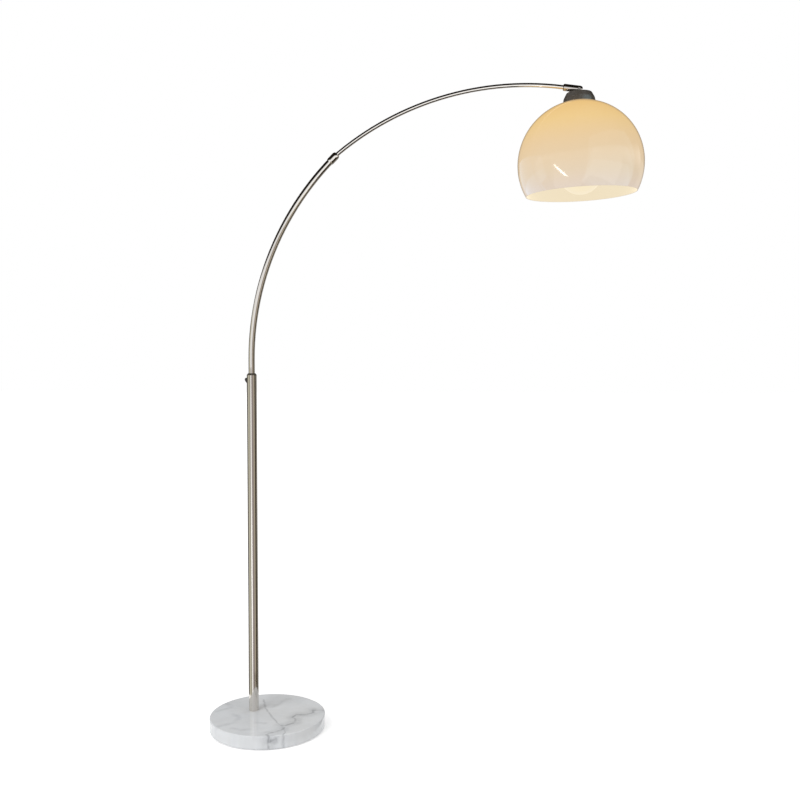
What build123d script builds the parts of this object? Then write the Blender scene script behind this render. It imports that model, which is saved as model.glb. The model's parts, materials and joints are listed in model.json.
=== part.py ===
"""Arc floor lamp: marble foot, steel pole, telescopic steel arc and a tilting opal shade."""
import os
from math import acos, asin, cos, degrees, radians, sin, sqrt

from build123d import *

# Frame: the pole stands on the Z axis, the floor is Z = 0 and the arc reaches out along +X.

# Foot
base_diameter = 350.0
base_thickness = 40.0
base_edge_radius = 3.0
base_offset_x = 51.0
base_offset_y = -28.0
pad_diameter = 334.0
pad_thickness = 2.5
recess_diameter = 48.0
recess_depth = 17.0
groove_width = 10.0
groove_depth = 9.0
grommet_length = 14.0
cord_bore = 6.5

# Tie between foot and pole
stud_diameter = 16.0
stud_bore = 9.0
stud_height_in_plug = 35.0
stud_below_nut = 1.0
nut_across_flats = 24.0
nut_height = 9.0
washer_diameter = 42.0
washer_thickness = 3.0
plug_height = 50.0

# Pole and its top
pole_diameter = 30.0
pole_wall = 1.5
pole_length = 1038.0
bush_insert_length = 70.0
bush_flange_height = 1.2
bush_cone_height = 5.0
bush_cone_top_wall = 1.4

# Wing screw that clamps the arc
clamp_drop = 21.0
clamp_azimuth = 115.0
wing_roll = 45.0
boss_diameter = 11.0
boss_stand_out = 3.5
screw_diameter = 6.0
screw_hub_diameter = 10.0
screw_hub_length = 9.0
screw_hub_round = 1.5
wing_half_span = 15.0
wing_reach = 16.0
wing_thickness = 3.0
wing_root_bottom = 1.0
wing_root_top = 7.0
wing_shoulder = 8.8
wing_tip_width = 4.5
wing_tip_sag = 1.6

# Arc tubes
arc_radius = 840.0
lower_diameter = 19.0
lower_wall = 1.2
spigot_length = 370.0
straight_above_pole = 48.0
guide_length = 26.0
guide_neck_length = 24.0
guide_chamfer = 1.0
upper_diameter = 12.0
upper_wall = 1.0
upper_radius = 860.0
upper_bend = 5.0
bend_radius = 90.0
upper_end_dip = 8.8
extension_angle = 8.0
joint_angle = 133.0

# Collar at the joint of the tubes
collar_diameter = 23.0
collar_grip = 18.0
collar_dome = 15.0
collar_edge = 0.6
collar_taper = 5.0
collar_shoulder = 5.2
collar_dome_radius = 10.4
collar_dome_height = 11.7
collar_lip = 0.8
collar_lip_slope = 0.25
collar_bush_length = 14.0
collar_bush_flange = 2.8
stop_length = 12.0
stop_margin = 2.0

# End sleeve and tilting knuckle
sleeve_diameter = 20.0
sleeve_length = 46.0
sleeve_grip = 26.0
sleeve_chamfer = 2.2
fork_depth = 14.0
tongue_thickness = 4.4
tongue_radius = 8.5
pivot_diameter = 5.0
pivot_head_diameter = 8.0
pivot_head_height = 2.4
pivot_head_round = 1.4
pivot_seat_depth = 3.2
pivot_tip_inset = 0.6
driver_slot_width = 1.0
driver_slot_depth = 0.6
pivot_nut_diameter = 8.4
pivot_nut_inset = 0.8
pivot_nut_chamfer = 0.5
pivot_washer_diameter = 13.0
pivot_washer_thickness = 0.8
shoulder_radius = 10.0
shoulder_thickness = 1.2
shade_tilt = 1.5

# Cap, stem and lampholder
cap_top_radius = 29.0
cap_bevel_radius = 43.5
cap_bevel_height = 15.0
cap_skirt_radius = 46.5
cap_skirt_height = 14.0
cap_wall = 1.2
stem_diameter = 10.0
stem_bore = 7.0
stem_length = 74.0
tongue_stud_length = 12.0
coupling_diameter = 15.0
coupling_length = 17.0
coupling_chamfer = 0.8
plate_radius = 33.0
plate_thickness = 1.5
stem_nut_across_flats = 14.0
stem_nut_height = 4.0
holder_cup_radius = 18.5
holder_cup_height = 22.0
holder_cup_round = 9.0
holder_cup_floor = 8.0
stem_in_holder = 6.0
holder_skirt_radius = 20.0
holder_skirt_length = 34.0
holder_wall = 2.6
holder_bore = 13.6
skirt_rim_proud = 1.2
skirt_rim_height = 4.0
contact_thickness = 7.0
contact_inset = 2.0
contact_slot = 3.0

# Shade and bulb
shade_radius = 182.0
shade_rim_drop = 82.0
shade_wall = 2.5
shade_hole_radius = 21.0
bulb_diameter = 125.0
bulb_wall = 1.2
bulb_cap_radius = 13.2
bulb_cap_length = 25.0
bulb_cap_cone = 4.0
bulb_button_radius = 4.0
bulb_shoulder_angle = 42.0
bulb_rim_margin = 2.0

# Clearances
seat_gap = 0.1
slide_gap = 0.15
thread_gap = 0.06
press_gap = 0.05
running_gap = 0.3
stop_gap = 1.1
hole_gap = 0.3

# Levels along the pole, from the floor up
base_top = pad_thickness + base_thickness
recess_top = pad_thickness + recess_depth
pole_top = base_top + pole_length
clamp_height = pole_top - clamp_drop
pole_bore_radius = pole_diameter / 2 - pole_wall
lower_radius = lower_diameter / 2
lower_bore_radius = lower_radius - lower_wall
upper_tube_radius = upper_diameter / 2
bend_level = pole_top + straight_above_pole
spigot_bottom = bend_level - spigot_length
arc_centre = (arc_radius, bend_level)

# Angles on the lower arc: the upper tube starts to bend where it leaves the collar
tube_end_angle = joint_angle + degrees((collar_dome + running_gap) / arc_radius)


def sleeve(outer, inner, height, bottom=0.0):
    """Upright tube on the Z axis."""
    return Pos(0, 0, bottom) * extrude(Circle(outer) - Circle(inner), height)


def disc(radius, height, bottom=0.0):
    """Upright solid cylinder on the Z axis."""
    return Pos(0, 0, bottom) * extrude(Circle(radius), height)


def hex_nut(across_flats, bore, height, bottom=0.0):
    """Plain hexagon nut on the Z axis."""
    outline = RegularPolygon(across_flats / 2, 6, major_radius=False) - Circle(bore)
    return Pos(0, 0, bottom) * extrude(outline, height)


def turned(*outline):
    """Solid of revolution about Z from lines drawn in (radius, height)."""
    return revolve(Plane.XZ * make_face(outline), Axis.Z)


def on_arc(angle):
    """Plane on the lower arc's circle, with its Z axis along the tube towards the shade."""
    a = radians(angle)
    origin = (arc_centre[0] + arc_radius * cos(a), 0, arc_centre[1] + arc_radius * sin(a))
    return Plane(origin, x_dir=(0, 1, 0), z_dir=(sin(a), 0, -cos(a)))


def arc_shift(length):
    """Angle on the lower arc that spans a length."""
    return degrees(length / arc_radius)


def swept_tube(path, radius, wall):
    """Round tube along a path."""
    section = Plane(path @ 0, z_dir=path % 0) * (Circle(radius) - Circle(radius - wall))
    return sweep(section, path=path)


# Foot and pole
def base_pad():
    """Felt pad glued under the disc."""
    return Pos(base_offset_x, base_offset_y, 0) * disc(pad_diameter / 2, pad_thickness)


def groove_outline(shrink=0.0):
    """Cross-section of the cord groove, an arch that is open below."""
    half = groove_width / 2 - shrink
    crown = groove_depth - shrink
    sides = Pos(0, crown / 2 - half / 2) * Rectangle(2 * half, crown - half - shrink)
    arch = Pos(0, crown - half) * Circle(half)
    above = Pos(0, crown / 2) * Rectangle(2 * half, crown - 2 * shrink)
    return sides + (arch & above)


def groove_rim():
    """Distance from the pole axis to the disc's rim along the groove."""
    return base_offset_y + sqrt((base_diameter / 2) ** 2 - base_offset_x ** 2)


def groove_plane(distance):
    """Plane across the groove, facing the disc's rim."""
    return Plane((0, distance, pad_thickness), x_dir=(-1, 0, 0), z_dir=(0, 1, 0))


def base_disc():
    """Marble disc with rounded edges, the recess for the nut and the groove for the cord."""
    body = Pos(base_offset_x, base_offset_y, 0) * disc(base_diameter / 2, base_thickness, pad_thickness)
    body = fillet(body.edges().filter_by(GeomType.CIRCLE), base_edge_radius)
    body -= disc(recess_diameter / 2, recess_depth, pad_thickness)
    body -= disc(stud_diameter / 2 + hole_gap, base_thickness, pad_thickness)
    return body - groove_plane(0) * extrude(groove_outline(), base_diameter)


def cord_grommet():
    """Rubber plug in the mouth of the groove, bored for a cord."""
    outline = groove_outline(seat_gap) - Pos(0, groove_depth / 2) * Circle(cord_bore / 2)
    inset = base_edge_radius
    return groove_plane(groove_rim() - inset - grommet_length) * extrude(outline, grommet_length)


def base_washer():
    """Wide washer that spreads the nut's pull over the stone."""
    bottom = recess_top - washer_thickness
    return sleeve(washer_diameter / 2, stud_diameter / 2 + hole_gap, washer_thickness, bottom)


def base_nut():
    """Nut on the stud, in the recess under the disc."""
    bottom = recess_top - washer_thickness - nut_height
    return hex_nut(nut_across_flats, stud_diameter / 2 + thread_gap, nut_height, bottom)


def pole_stud():
    """Hollow threaded stud from the recess up into the foot plug."""
    bottom = recess_top - washer_thickness - nut_height - stud_below_nut
    return sleeve(stud_diameter / 2, stud_bore / 2, base_top + stud_height_in_plug - bottom, bottom)


def pole_foot_plug():
    """Turned plug welded into the foot of the pole and tapped for the stud."""
    plug = sleeve(pole_bore_radius - press_gap, stud_bore / 2, plug_height, base_top)
    return plug - disc(stud_diameter / 2 + thread_gap, stud_height_in_plug + seat_gap, base_top)


def clamp_plane():
    """Plane at the wing screw, with its Z axis pointing out of the pole and X along the upper wing."""
    a = radians(clamp_azimuth)
    roll = radians(wing_roll)
    wing = (-sin(a) * cos(roll), cos(a) * cos(roll), sin(roll))
    return Plane((0, 0, clamp_height), x_dir=wing, z_dir=(cos(a), sin(a), 0))


def pole():
    """Upright tube with the hole for the screw boss."""
    tube = sleeve(pole_diameter / 2, pole_bore_radius, pole_length, base_top)
    return tube - clamp_plane() * disc(boss_diameter / 2 + press_gap, pole_diameter)


def pole_top_bush():
    """Bush that carries the arc, with a conical lip over the end of the pole."""
    bore = lower_radius + slide_gap
    insert = pole_bore_radius - press_gap
    lip = pole_diameter / 2
    cone_base = pole_top + bush_flange_height
    body = turned(Polyline((bore, pole_top - bush_insert_length), (insert, pole_top - bush_insert_length),
                           (insert, pole_top), (lip, pole_top), (lip, cone_base),
                           (bore + bush_cone_top_wall, cone_base + bush_cone_height),
                           (bore, cone_base + bush_cone_height), close=True))
    return body - clamp_plane() * disc(screw_diameter / 2 + hole_gap, pole_diameter)


def screw_boss():
    """Threaded boss set in the pole wall."""
    inner = pole_bore_radius + press_gap
    outer = pole_diameter / 2 + boss_stand_out
    boss = sleeve(boss_diameter / 2, screw_diameter / 2 + thread_gap, outer, 0)
    return clamp_plane() * boss - disc(inner, 4 * boss_diameter, clamp_height - 2 * boss_diameter)


def clamp_screw():
    """Wing screw: shank, hub and two flared ears."""
    foot = pole_diameter / 2 + boss_stand_out + running_gap
    start = lower_radius + slide_gap
    shank = disc(screw_diameter / 2, foot - start, start)
    hub = disc(screw_hub_diameter / 2, screw_hub_length, foot)
    hub = fillet(hub.edges().group_by(Axis.Z)[-1], screw_hub_round)
    root = screw_hub_diameter / 2
    low, high = foot + wing_root_bottom, foot + wing_root_top
    shoulder = (wing_half_span, foot + wing_shoulder)
    tip = (wing_half_span - wing_tip_width, foot + wing_reach)
    under = Polyline((0, low), (root, low), shoulder)
    round_end = SagittaArc(shoulder, tip, wing_tip_sag)
    over = Polyline(tip, (root, high), (0, high), (0, low))
    ear = extrude(Plane.XZ * make_face([under, round_end, over]), wing_thickness / 2, both=True)
    return clamp_plane() * (shank + hub + ear + Rot(0, 0, 180) * ear)


# Arc
def spigot_guide():
    """Plastic guide that runs in the pole and carries the lower end of the arc's tube."""
    outer = pole_bore_radius - slide_gap
    neck = lower_bore_radius - seat_gap
    body = sleeve(outer, stud_bore / 2, guide_length, spigot_bottom - guide_length - seat_gap)
    rims = body.edges().filter_by(GeomType.CIRCLE).group_by(SortBy.RADIUS)[-1]
    body = chamfer(rims, guide_chamfer)
    return body + sleeve(neck, stud_bore / 2, guide_neck_length, spigot_bottom - seat_gap)


def arc_lower_tube():
    """Straight spigot and the first part of the arc, in one bent tube."""
    path = Line((0, spigot_bottom), (0, bend_level))
    path += JernArc((0, bend_level), (0, 1), arc_radius, tube_end_angle - 180)
    return swept_tube(Plane.XZ * path, lower_radius, lower_wall)


def arc_collar():
    """Turned collar on the end of the lower tube, with a domed mouth for the upper one."""
    bore = lower_radius + seat_gap
    mouth = upper_tube_radius + 2 * running_gap
    outer = collar_diameter / 2
    grip = collar_grip / 2
    ceiling = grip + collar_bush_flange + seat_gap
    top = grip + collar_dome
    shoulder = (outer, grip + collar_shoulder)
    lip = (mouth + collar_lip, top)
    outside = Polyline((bore, ceiling), (bore, -grip), (bore + collar_edge, -grip),
                       (outer, -grip + collar_taper), shoulder)
    dome = Spline(shoulder, (collar_dome_radius, grip + collar_dome_height), lip,
                  tangents=[(0, 1), (-1, collar_lip_slope)])
    inside = Polyline(lip, (mouth, top), (mouth, ceiling), (bore, ceiling))
    middle = tube_end_angle + arc_shift(grip)
    return on_arc(middle) * turned(outside, dome, inside)


def collar_bush():
    """Flanged plastic bush in the mouth of the lower tube."""
    bore = upper_tube_radius + slide_gap
    half = collar_bush_length / 2
    body = sleeve(lower_bore_radius - seat_gap, bore, collar_bush_length + seat_gap, -half)
    flange = sleeve(lower_radius - seat_gap, bore, collar_bush_flange - seat_gap, half + seat_gap)
    return on_arc(tube_end_angle + arc_shift(half)) * (body + flange)


def upper_inner_angle():
    """Angle on the lower arc of the upper tube's inner end."""
    travel = radians(extension_angle) * arc_radius
    return tube_end_angle + arc_shift(collar_bush_length + stop_margin + travel + stop_length)


def upper_path():
    """Centre line of the upper tube: inside the lower one, a slight bend, its own arc, a straight end."""
    inner = upper_inner_angle()
    start = on_arc(inner)
    first = JernArc((start.origin.X, start.origin.Z), (start.z_dir.X, start.z_dir.Z), arc_radius,
                    joint_angle - inner)
    bend = JernArc(first @ 1, first % 1, bend_radius, -upper_bend)
    heading = joint_angle - 90 - upper_bend
    last = JernArc(bend @ 1, bend % 1, upper_radius, -(heading + upper_end_dip))
    end = Line(last @ 1, (last @ 1) + (last % 1) * sleeve_grip)
    return Plane.XZ * (first + bend + last + end)


def arc_upper_tube():
    """Thin tube that slides in the lower one and carries the shade."""
    return swept_tube(upper_path(), upper_tube_radius, upper_wall)


def stop_bush():
    """Plastic ring on the inner end of the upper tube, which stops it from being pulled out."""
    outer = lower_bore_radius - stop_gap
    ring = sleeve(outer, upper_tube_radius + press_gap, stop_length, -stop_length / 2)
    return on_arc(upper_inner_angle() - arc_shift(stop_length / 2)) * ring


# Knuckle
def sleeve_plane():
    """Plane at the pivot: its Z axis runs on along the end sleeve and X points up."""
    dip = radians(upper_end_dip)
    end = upper_path() @ 1
    along = Vector(cos(dip), 0, -sin(dip))
    origin = end + along * (sleeve_length - sleeve_grip)
    return Plane(origin, x_dir=(sin(dip), 0, cos(dip)), z_dir=along)


def pivot_plane():
    """Plane at the pivot with its Z axis along the pivot pin, towards the front."""
    return Plane(sleeve_plane().origin, x_dir=(1, 0, 0), z_dir=(0, -1, 0))


fork_slot = tongue_thickness + 2 * (pivot_washer_thickness + seat_gap)
pivot_seat = sleeve_diameter / 2 - pivot_seat_depth


def end_sleeve():
    """Turned sleeve on the tube's end, slotted and rounded into a fork for the tongue."""
    radius = sleeve_diameter / 2
    body = disc(radius, sleeve_length + radius, -sleeve_length)
    body = chamfer(body.faces().sort_by(Axis.Z)[0].edges(), sleeve_chamfer)
    outline = Pos(0, -sleeve_length / 2) * Rectangle(sleeve_diameter, sleeve_length) + Circle(radius)
    body &= extrude(Plane.XZ * outline, sleeve_diameter, both=True)
    body -= disc(upper_tube_radius + press_gap, sleeve_grip + seat_gap, -sleeve_length)
    body -= disc(cord_bore / 2, sleeve_length, -sleeve_length)
    slot = Pos(0, 0, radius / 2 - fork_depth / 2) * Box(2 * sleeve_diameter, fork_slot, fork_depth + radius)
    body = sleeve_plane() * (body - slot)
    pin = pivot_plane()
    body -= pin * disc(pivot_diameter / 2 + press_gap, 2 * sleeve_diameter, -sleeve_diameter)
    body -= pin * disc(pivot_head_diameter / 2 + hole_gap, sleeve_diameter, pivot_seat)
    nut_seat = disc(pivot_nut_diameter / 2 + hole_gap, sleeve_diameter, -pivot_seat - sleeve_diameter)
    return body - pin * nut_seat


def pivot_screw():
    """Shoulder screw with a domed head."""
    tip = -pivot_seat - pivot_seat_depth + pivot_tip_inset
    shank = disc(pivot_diameter / 2, pivot_seat - tip, tip)
    head = disc(pivot_head_diameter / 2, pivot_head_height, pivot_seat)
    head = fillet(head.edges().sort_by(Axis.Z)[-1:], pivot_head_round)
    head_top = pivot_seat + pivot_head_height
    slot = Pos(0, 0, head_top) * Box(pivot_head_diameter, driver_slot_width, 2 * driver_slot_depth)
    return pivot_plane() * (shank + head - slot)


def pivot_nut():
    """Round nut sunk in the back cheek."""
    height = pivot_seat_depth - pivot_nut_inset
    nut = sleeve(pivot_nut_diameter / 2, pivot_diameter / 2 + thread_gap, height, -pivot_seat - height)
    return pivot_plane() * chamfer(nut.edges().sort_by(Axis.Z)[0:1], pivot_nut_chamfer)


def pivot_washers():
    """Friction washers, one on each side of the tongue."""
    low = tongue_thickness / 2 + seat_gap / 2
    one = sleeve(pivot_washer_diameter / 2, pivot_diameter / 2 + press_gap, pivot_washer_thickness, low)
    return Compound([pivot_plane() * one, pivot_plane() * (Rot(180, 0, 0) * one)])


# Shade and what hangs with it, drawn about the shade's axis with the pivot as origin
shoulder_top = sleeve_diameter / 2 + seat_gap
cap_top = shoulder_top + shoulder_thickness


def head_plane():
    """Plane at the pivot, with its Z axis up along the shade's axis."""
    tilt = radians(shade_tilt)
    return Plane(sleeve_plane().origin, x_dir=(cos(tilt), 0, sin(tilt)), z_dir=(-sin(tilt), 0, cos(tilt)))


def crown_height(radius, wall=0.0):
    """Height of the shade's crown above its widest ring, at a radius."""
    return sqrt((shade_radius - wall) ** 2 - radius ** 2)


cap_bottom = cap_top + cap_bevel_height + cap_skirt_height
shade_middle = cap_bottom + seat_gap + crown_height(cap_skirt_radius - cap_wall)
rim_level = shade_middle + shade_rim_drop
plate_top = shade_middle - crown_height(plate_radius, shade_wall) + seat_gap
stem_top = cap_top + tongue_stud_length + seat_gap
stem_bottom = stem_top + stem_length
holder_top = stem_bottom - stem_in_holder
skirt_top = holder_top + holder_cup_height
bulb_bottom = rim_level - bulb_rim_margin
contact_top = skirt_top + contact_inset
bulb_cap_top = contact_top + contact_thickness + seat_gap


def swivel_tongue():
    """Eye between the fork's cheeks, with a shoulder on the cap and a hollow threaded stud."""
    eye = Circle(tongue_radius) + Pos(0, -shoulder_top / 2) * Rectangle(2 * tongue_radius, shoulder_top)
    eye = extrude(Plane.XZ * eye, tongue_thickness / 2, both=True)
    pin = Plane.XZ * disc(pivot_diameter / 2 + press_gap, sleeve_diameter, -sleeve_diameter / 2)
    shoulder = disc(shoulder_radius, shoulder_thickness, -cap_top)
    stud = disc(stem_diameter / 2, tongue_stud_length, -cap_top - tongue_stud_length)
    bore = disc(stem_bore / 2, tongue_stud_length, -cap_top - tongue_stud_length)
    return head_plane() * (eye - pin + shoulder + stud - bore)


def shade_cap():
    """Spun cap over the crown of the shade."""
    body = turned(Polyline((0, -cap_top), (cap_top_radius, -cap_top),
                           (cap_bevel_radius, -cap_top - cap_bevel_height),
                           (cap_skirt_radius, -cap_bottom), (0, -cap_bottom), close=True))
    shell = offset(body, -cap_wall, openings=body.faces().sort_by(Axis.Z)[0])
    return head_plane() * (shell - disc(stem_diameter / 2 + hole_gap, 2 * cap_wall, -cap_top - 2 * cap_wall))


def stem_coupling():
    """Threaded sleeve that joins stud and stem and pinches the cap's top."""
    bottom = -cap_top - cap_wall - coupling_length
    body = sleeve(coupling_diameter / 2, stem_diameter / 2 + thread_gap, coupling_length, bottom)
    rims = body.edges().filter_by(GeomType.CIRCLE).group_by(SortBy.RADIUS)[-1]
    return head_plane() * chamfer(rims, coupling_chamfer)


def stem_pipe():
    """Hollow threaded stem that carries shade and lampholder."""
    return head_plane() * sleeve(stem_diameter / 2, stem_bore / 2, stem_length, -stem_bottom)


def shade():
    """Opal shade: a ball of thin wall, cut off below its middle."""
    def wall_line(inset):
        radius = shade_radius - inset
        rim_angle = degrees(asin(shade_rim_drop / radius))
        hole_angle = degrees(acos(shade_hole_radius / radius))
        return CenterArc((0, 0), radius, -rim_angle, rim_angle + hole_angle)

    outside = wall_line(0)
    inside = wall_line(shade_wall)
    outer_rim, inner_rim = outside @ 0, inside @ 0
    neck = Line(outside @ 1, inside @ 1)
    rim = ThreePointArc(outer_rim, (outer_rim + inner_rim) / 2 - Vector(0, shade_wall / 2), inner_rim)
    shell = turned(outside, neck, inside, rim)
    return head_plane() * (Pos(0, 0, -shade_middle) * shell)


def shade_plate():
    """Plate inside the shade that pulls its crown up against the cap."""
    plate = sleeve(plate_radius, stem_diameter / 2 + hole_gap, plate_thickness, -plate_top - plate_thickness)
    return head_plane() * plate


def plate_nut():
    """Nut under the plate."""
    bottom = -plate_top - plate_thickness - stem_nut_height
    bore = stem_diameter / 2 + thread_gap
    return head_plane() * hex_nut(stem_nut_across_flats, bore, stem_nut_height, bottom)


def holder_cup():
    """Domed upper half of the lampholder, screwed on the stem."""
    body = disc(holder_cup_radius, holder_cup_height, -skirt_top)
    body = fillet(body.edges().sort_by(Axis.Z)[-1:], holder_cup_round)
    body -= disc(holder_cup_radius - holder_wall, holder_cup_height - holder_cup_floor, -skirt_top)
    return head_plane() * (body - disc(stem_diameter / 2 + thread_gap, holder_cup_height, -skirt_top))


def holder_skirt():
    """Lower half of the lampholder, which takes the bulb's cap."""
    body = sleeve(holder_skirt_radius, holder_bore, holder_skirt_length, -skirt_top - holder_skirt_length)
    rim_radius = holder_skirt_radius + skirt_rim_proud
    rim = sleeve(rim_radius, holder_bore, skirt_rim_height, -skirt_top - skirt_rim_height)
    return head_plane() * (body + rim)


def holder_contact():
    """Ceramic insert with the centre contact, seated in the skirt."""
    insert = disc(holder_bore - seat_gap, contact_thickness, -contact_top - contact_thickness)
    slot = Pos(0, 0, -contact_top) * Box(2 * holder_bore, contact_slot, contact_slot)
    return head_plane() * (insert - slot)


def bulb_cap():
    """Screw cap of the bulb with its centre contact button."""
    barrel_top = -bulb_cap_top - bulb_cap_cone
    bottom = -bulb_cap_top - bulb_cap_length
    return head_plane() * turned(Polyline((0, -bulb_cap_top), (bulb_button_radius, -bulb_cap_top),
                                          (bulb_cap_radius, barrel_top), (bulb_cap_radius, bottom),
                                          (0, bottom), close=True))


def bulb_globe():
    """Frosted globe with its neck, blown from thin glass."""
    def skin(inset):
        radius = bulb_diameter / 2 - inset
        neck = bulb_cap_radius - inset
        centre = -bulb_bottom + bulb_diameter / 2
        top = -bulb_cap_top - bulb_cap_length
        turn = radians(bulb_shoulder_angle)
        join = (radius * sin(turn), centre + radius * cos(turn))
        ball = ThreePointArc((0, centre - radius), (radius, centre), join)
        shoulder = Spline(join, (neck, top), tangents=[ball % 1, (0, 1)])
        return ball, shoulder

    ball, shoulder = skin(0)
    ball_in, shoulder_in = skin(bulb_wall)
    seams = Line(shoulder @ 1, shoulder_in @ 1), Line(ball @ 0, ball_in @ 0)
    return head_plane() * turned(ball, shoulder, seams[0], shoulder_in, ball_in, seams[1])


PIECES = (base_pad, base_disc, cord_grommet, base_washer, base_nut, pole_stud, pole_foot_plug, pole,
          pole_top_bush, screw_boss, clamp_screw, spigot_guide, arc_lower_tube, arc_collar, collar_bush,
          arc_upper_tube, stop_bush, end_sleeve, pivot_screw, pivot_nut, pivot_washers, swivel_tongue,
          shade_cap, stem_coupling, stem_pipe, shade, shade_plate, plate_nut, holder_cup, holder_skirt,
          holder_contact, bulb_cap, bulb_globe)

if __name__ == "__main__":
    os.makedirs("parts", exist_ok=True)
    for piece in PIECES:
        export_step(piece(), f"parts/{piece.__name__}.step")
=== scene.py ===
"""Looks of an arc floor lamp: marble foot, steel pole and arc, dark fittings and a lit opal shade."""
import json
from math import acos, asin, cos, pi, radians, sin, tau

import bmesh
import bpy
from bpy.props import FloatProperty, FloatVectorProperty, IntProperty, PointerProperty
from mathutils import Matrix, Vector


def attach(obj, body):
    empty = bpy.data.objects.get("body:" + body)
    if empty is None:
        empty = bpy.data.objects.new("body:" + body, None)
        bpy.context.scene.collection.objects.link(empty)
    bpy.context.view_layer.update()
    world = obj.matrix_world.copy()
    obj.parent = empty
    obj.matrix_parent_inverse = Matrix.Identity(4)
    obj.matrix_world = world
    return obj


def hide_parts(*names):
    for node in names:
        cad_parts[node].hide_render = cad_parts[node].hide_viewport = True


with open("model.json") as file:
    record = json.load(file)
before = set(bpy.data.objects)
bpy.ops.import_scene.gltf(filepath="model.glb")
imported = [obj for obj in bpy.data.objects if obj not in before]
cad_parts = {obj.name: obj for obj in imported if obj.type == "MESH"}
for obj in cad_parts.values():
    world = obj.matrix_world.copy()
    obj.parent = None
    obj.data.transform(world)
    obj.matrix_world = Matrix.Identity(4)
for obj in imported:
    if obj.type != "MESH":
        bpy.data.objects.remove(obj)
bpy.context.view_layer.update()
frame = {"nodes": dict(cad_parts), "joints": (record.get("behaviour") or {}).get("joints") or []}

bl_info = {
    "name": "Arc floor lamp looks",
    "version": (1, 0, 0),
    "blender": (4, 5, 0),
    "location": "View3D > Sidebar > Arc lamp",
    "description": "Finishes, fine pieces and a studio for the arc floor lamp",
    "category": "Object",
}

UP = Vector((0, 0, 1))
JOINTS = {joint["name"]: joint for joint in frame["joints"]}
PIVOT = Vector(JOINTS["shade_tilt"]["pos_m"])
WHITE, BLACK = (1.0, 1.0, 1.0), (0.0, 0.0, 0.0)

# Points along each rounded corner, and rings in the dish of the wing screw's head as parts of its outline
BEND_STEPS = 5
DISH_RINGS = (0.9, 0.75, 0.6, 0.45, 0.3, 0.15)

# Lines of the stone's veins on the top of the foot and their widths, in metres
BOLD_VEINS = (
    ((0.214, 0.020), (0.182, 0.017), (0.189, -0.001), (0.169, -0.021), (0.139, -0.025), (0.133, -0.047),
     (0.148, -0.066), (0.149, -0.085), (0.128, -0.111), (0.114, -0.114), (0.126, -0.129), (0.126, -0.146),
     (0.107, -0.164), (0.086, -0.185), (0.100, -0.202)),
)
FINE_VEINS = (
    ((0.008, 0.089), (0.030, 0.020), (0.067, -0.044), (0.099, -0.096), (0.114, -0.114)),
    ((0.125, -0.136), (0.139, -0.164), (0.134, -0.186)),
)
FAINT_VEINS = (
    ((-0.112, -0.025), (-0.079, 0.006), (-0.081, 0.028), (-0.100, 0.040)),
    ((-0.055, -0.044), (-0.026, -0.065), (-0.031, -0.110), (-0.070, -0.141)),
    ((0.035, -0.103), (0.063, -0.103)),
    ((-0.025, -0.153), (0.006, -0.160), (0.027, -0.153)),
    ((0.048, 0.029), (0.068, 0.061), (0.078, 0.101), (0.090, 0.106)),
)
BOLD_WIDTH, FINE_WIDTH, FAINT_WIDTH = 0.0055, 0.0036, 0.006

# Middle and reach of the grey smudge on the foot's edge, in metres
SMUDGE = (0.109, -0.193, 0.024)
SMUDGE_REACH = 0.024

# Colour of the lit shade by height above its middle, in metres: whiter below, amber above
OPAL_TONES = (
    (-0.09, (0.77, 0.65, 0.55)), (-0.04, (0.79, 0.64, 0.46)), (0.05, (0.84, 0.62, 0.36)),
    (0.11, (0.88, 0.62, 0.28)), (0.175, (0.88, 0.57, 0.22)),
)

# Moulded and painted finishes: light and dark colour, roughness, size of the mottle and depth of the skin
MOULDINGS = {
    "rubber": ((0.025, 0.025, 0.026), (0.015, 0.015, 0.016), 0.55, 90.0, 0.00004),
    "black_screw": ((0.03, 0.028, 0.026), (0.055, 0.05, 0.045), 0.32, 160.0, 0.00003),
    "guide_plastic": ((0.02, 0.02, 0.021), (0.035, 0.035, 0.036), 0.38, 70.0, 0.00002),
    "holder_plastic": ((0.80, 0.79, 0.75), (0.72, 0.71, 0.67), 0.35, 80.0, 0.00003),
    "holder_ceramic": ((0.78, 0.76, 0.71), (0.70, 0.68, 0.63), 0.3, 60.0, 0.00002),
}

# How fine brushed lines are along X, Y and Z, or along radius, turn and height on turned pieces
POLE_LINES, TONGUE_LINES = (900.0, 900.0, 5.0), (60.0, 1200.0, 1200.0)
BUSH_LINES, CAP_LINES, BRASS_LINES = (1500.0, 2.0, 1500.0), (1400.0, 3.0, 1400.0), (900.0, 4.0, 900.0)


def colour(name, description, default):
    """Colour property with three channels."""
    return FloatVectorProperty(name=name, description=description, subtype="COLOR", size=3, min=0, max=1,
                               default=default)


def share(name, description, default):
    """Property that runs from none to all."""
    return FloatProperty(name=name, description=description, subtype="FACTOR", min=0, max=1,
                         default=default)


def angle(name, description, default):
    """Angle property, given in degrees."""
    return FloatProperty(name=name, description=description, subtype="ANGLE", default=radians(default))


def length(name, description, default):
    """Length property in metres."""
    return FloatProperty(name=name, description=description, unit="LENGTH", default=default, precision=4)


def amount(name, description, unit, default):
    """Number property with a unit."""
    return FloatProperty(name=name, description=description, unit=unit, default=default, min=0)


def spot(name, description, subtype, default):
    """Place or direction property."""
    return FloatVectorProperty(name=name, description=description, subtype=subtype, default=default)


def number(name, description, default):
    """Whole number property."""
    return IntProperty(name=name, description=description, default=default, min=2)


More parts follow.
